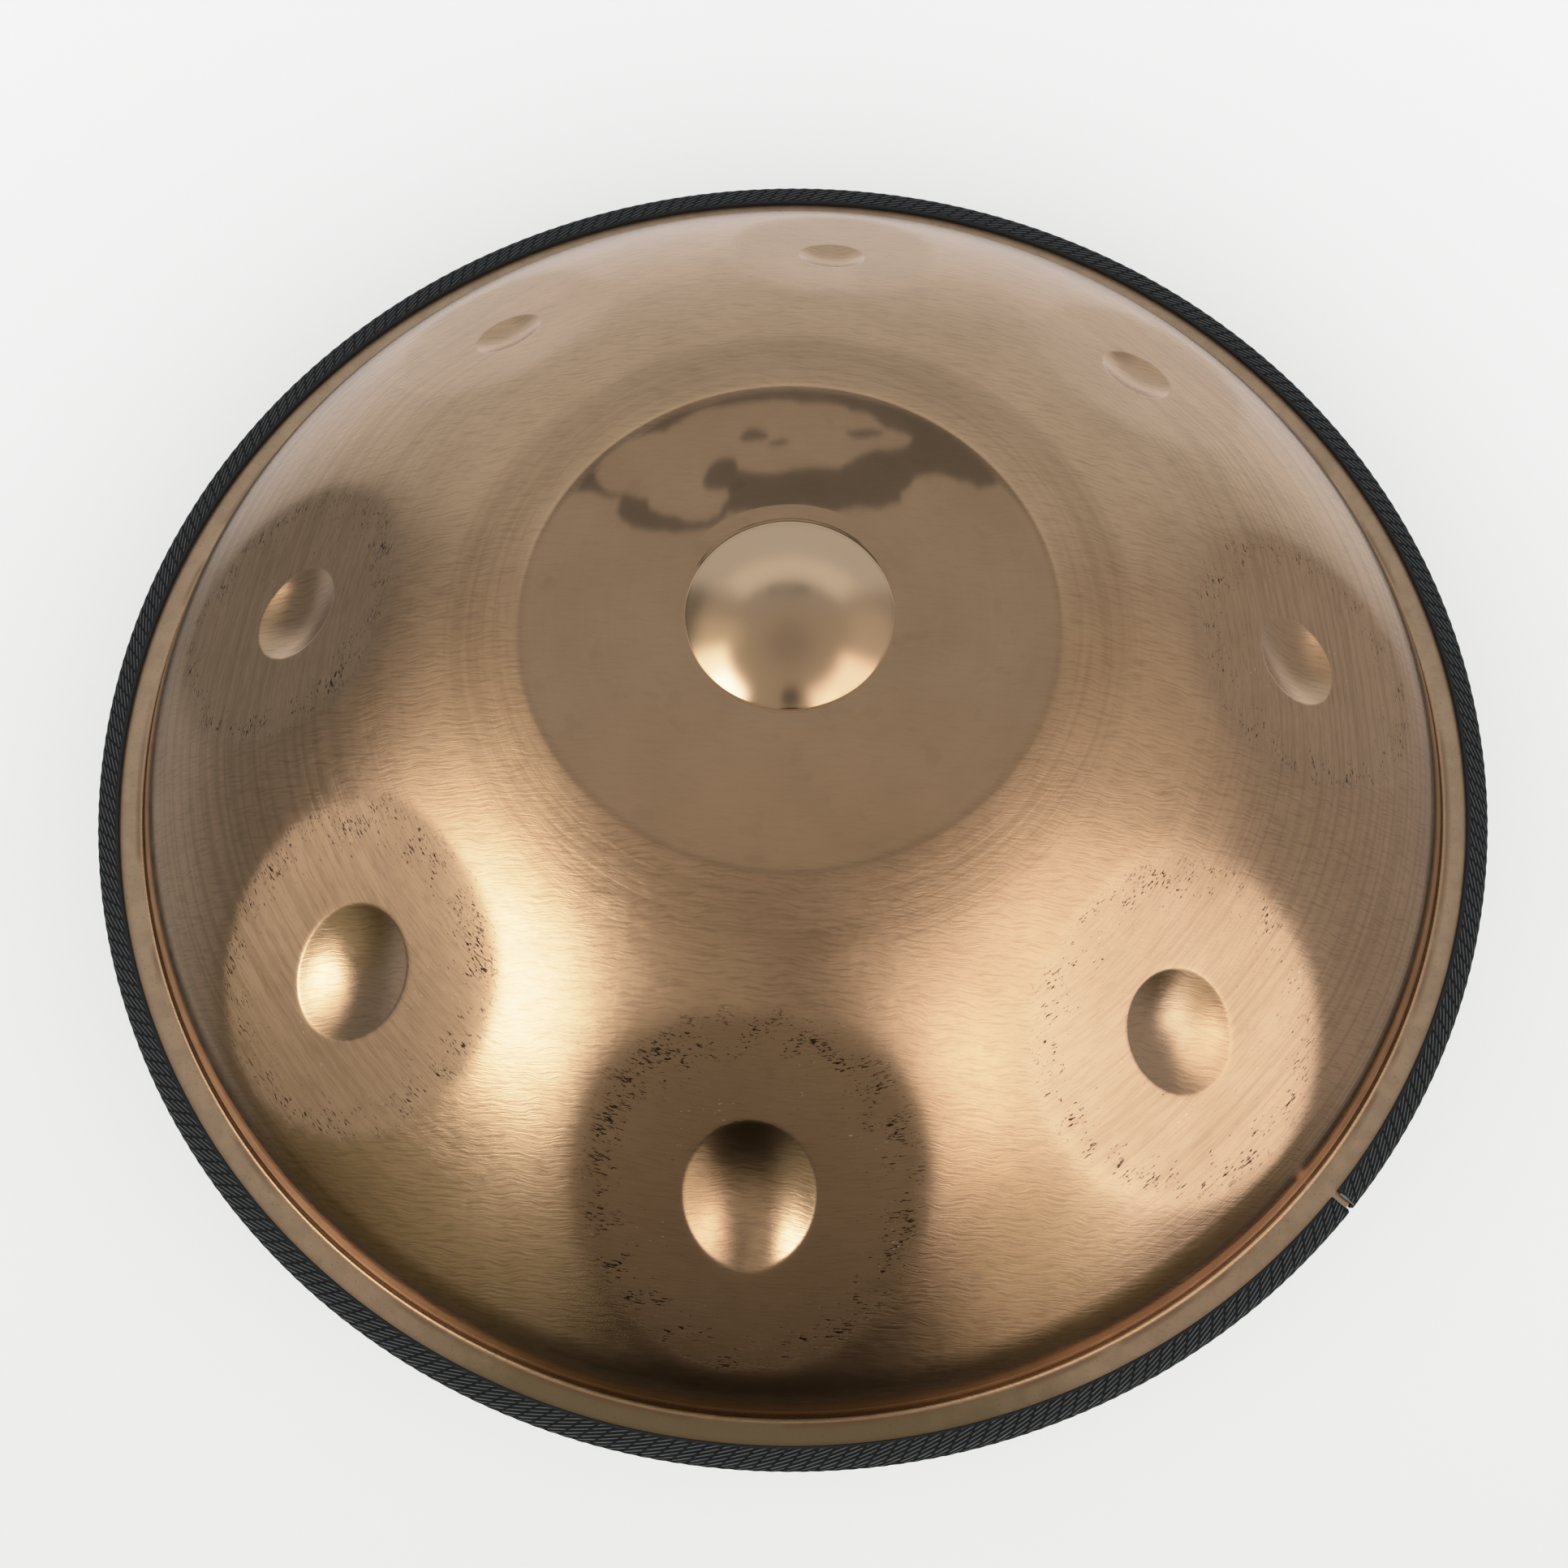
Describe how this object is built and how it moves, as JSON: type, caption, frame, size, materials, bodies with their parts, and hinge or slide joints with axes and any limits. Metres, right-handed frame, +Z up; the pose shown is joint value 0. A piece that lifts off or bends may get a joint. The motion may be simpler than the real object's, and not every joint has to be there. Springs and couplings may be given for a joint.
{
  "type": "handpan",
  "caption": "Handpan: two pressed steel shells glued at the rim, with a centre ding, dimpled tone fields, a port below and a black edge trim.",
  "frame": {"origin": "centre of the resting face, on the instrument's axis", "axes": "+Z up along the axis through the ding; the lowest and largest tone field lies towards -Y, the player's side; +X to the player's right"},
  "size_m": [0.5599, 0.5599, 0.2702],
  "materials": {
    "top_shell_steel": "heat-treated bronze, finely brushed along the rim direction",
    "bottom_shell_steel": "heat-treated bronze, finely brushed along the rim direction",
    "adhesive": "cured structural adhesive",
    "trim_rubber": "black, embossed with a fine woven pattern",
    "clamp_steel": "plain spring steel"
  },
  "bodies": {
    "root": {"top_shell": "top_shell_steel", "bottom_shell": "bottom_shell_steel", "rim_adhesive": "adhesive", "edge_trim": "trim_rubber", "trim_clamp_strip": "clamp_steel"}
  },
  "joints": []
}
